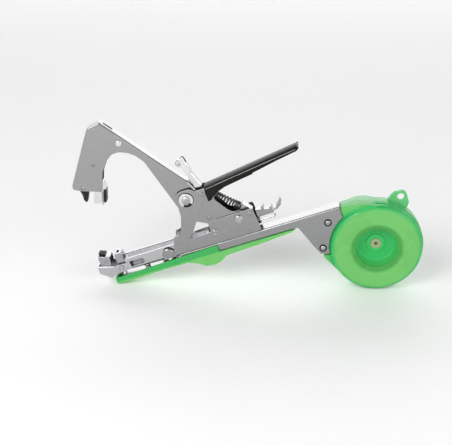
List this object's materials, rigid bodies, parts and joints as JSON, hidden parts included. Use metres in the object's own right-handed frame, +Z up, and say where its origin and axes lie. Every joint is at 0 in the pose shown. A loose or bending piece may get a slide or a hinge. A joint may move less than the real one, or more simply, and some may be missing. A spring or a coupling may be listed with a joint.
{
  "type": "plant tying tool",
  "caption": "Hand-held plant tying tool: squeezing the handle closes a hooked arm on a stapling nose, with a round tape reel case at the rear.",
  "frame": {"origin": "centre of the bounding box at its base, on the table that the reel case and the cover's front stand on", "axes": "+X from the hook towards the reel case, +Y across the tool away from the hub cup's side, +Z up"},
  "size_m": [0.3326, 0.025, 0.1641],
  "materials": {
    "satin_steel": "satin plated steel sheet, faint brushing",
    "chrome": "bright plated steel",
    "zinc_hardware": "plated pins, rivets and small fittings",
    "spring_steel": "dark drawn spring wire",
    "black_steel": "blackened steel",
    "black_vinyl": "soft black vinyl with a satin shine",
    "green_plastic": "glossy moulded green plastic",
    "tape_film": "thin green film wound in a roll",
    "core_card": "plain card"
  },
  "bodies": {
    "frame": {"main_channel": "satin_steel", "side_plate_near": "satin_steel", "side_plate_far": "satin_steel", "frame_bridge": "satin_steel", "clincher_pivot_pin": "zinc_hardware", "clincher_pivot_clip": "chrome", "handle_pivot_pin": "zinc_hardware", "frame_rivet_near": "zinc_hardware", "frame_rivet_far": "zinc_hardware", "magazine_pivot_near": "chrome", "magazine_pivot_far": "chrome", "bracket_screw_upper_near": "zinc_hardware", "bracket_screw_upper_far": "zinc_hardware", "bracket_screw_lower_near": "zinc_hardware", "bracket_screw_lower_far": "zinc_hardware", "magazine_cradle": "zinc_hardware", "driver_blade": "zinc_hardware", "lower_cover": "green_plastic", "reel_case_near": "green_plastic", "reel_case_far": "green_plastic", "hub_eyelet": "zinc_hardware", "frame_spring_seat": "zinc_hardware", "spring_anchor_pin": "zinc_hardware", "return_spring": "spring_steel", "lock_pin": "zinc_hardware", "magazine_spring": "spring_steel"},
    "hook_arm": {"clincher_arm": "satin_steel", "clincher_block": "chrome", "tape_cutter_blade": "zinc_hardware", "arm_rivet": "zinc_hardware", "catch_pin": "zinc_hardware", "catch_spring_pin": "zinc_hardware", "catch_spring": "spring_steel"},
    "catch": {"tape_catch": "black_steel"},
    "handle": {"handle_frame": "satin_steel", "handle_grip": "black_vinyl", "link_pin": "zinc_hardware", "handle_spring_seat": "zinc_hardware"},
    "lock": {"lock_lever": "chrome", "lock_roller": "chrome", "lock_roller_pin": "zinc_hardware"},
    "magazine": {"magazine_rail": "satin_steel", "magazine_cover": "chrome", "staple_guide": "zinc_hardware", "staple_strip": "spring_steel", "rod_guide": "zinc_hardware", "nose_guide": "satin_steel", "nose_block": "chrome", "tape_teeth": "black_steel", "staple_outlet": "chrome", "nose_screw_near": "zinc_hardware", "nose_screw_far": "zinc_hardware", "pusher_spring": "spring_steel"},
    "pusher": {"staple_follower": "zinc_hardware", "pusher_rod": "chrome", "pusher_grip": "zinc_hardware"},
    "tape_reel": {"tape_core": "core_card", "tape_roll": "tape_film"}
  },
  "joints": [
    {"name": "handle_squeeze", "type": "hinge", "parent": "frame", "child": "handle", "pos_m": [-0.00873, 0, 0.0711], "axis": [0, 1, 0], "range_deg": [0, 34], "stiffness_Nm_per_rad": 0.6, "springref_deg": -45.84, "deforming": ["return_spring"]},
    {"name": "hook_close", "type": "hinge", "parent": "frame", "child": "hook_arm", "pos_m": [-0.05853, 0, 0.09013], "axis": [0, -1, 0], "range_deg": [0, 35.5]},
    {"name": "catch_swing", "type": "hinge", "parent": "hook_arm", "child": "catch", "pos_m": [-0.15605, 0, 0.09967], "axis": [0, 1, 0], "range_deg": [0, 12], "stiffness_Nm_per_rad": 0.02, "springref_deg": -17.19, "deforming": ["catch_spring"]},
    {"name": "lock_lever_turn", "type": "hinge", "parent": "frame", "child": "lock", "pos_m": [-0.04431, 0, 0.09612], "axis": [0, 1, 0], "range_deg": [-6, 8]},
    {"name": "magazine_press", "type": "hinge", "parent": "frame", "child": "magazine", "pos_m": [-0.0767, 0, 0.03364], "axis": [0, -1, 0], "range_deg": [0, 3.2], "stiffness_Nm_per_rad": 4, "springref_deg": -3.44, "deforming": ["magazine_spring"]},
    {"name": "pusher_feed", "type": "slide", "parent": "magazine", "child": "pusher", "axis": [-0.9447, 0, -0.328], "range_m": [-0.04, 0], "stiffness_N_per_m": 30, "springref_m": 0.05, "deforming": ["pusher_spring"]},
    {"name": "tape_reel_spin", "type": "hinge", "parent": "frame", "child": "tape_reel", "pos_m": [0.12199, 0, 0.0443], "axis": [0, 1, 0], "continuous": true}
  ],
  "couplings": [
    {"joint": "hook_close", "follows": "handle_squeeze", "ratio": 1.0439}
  ]
}
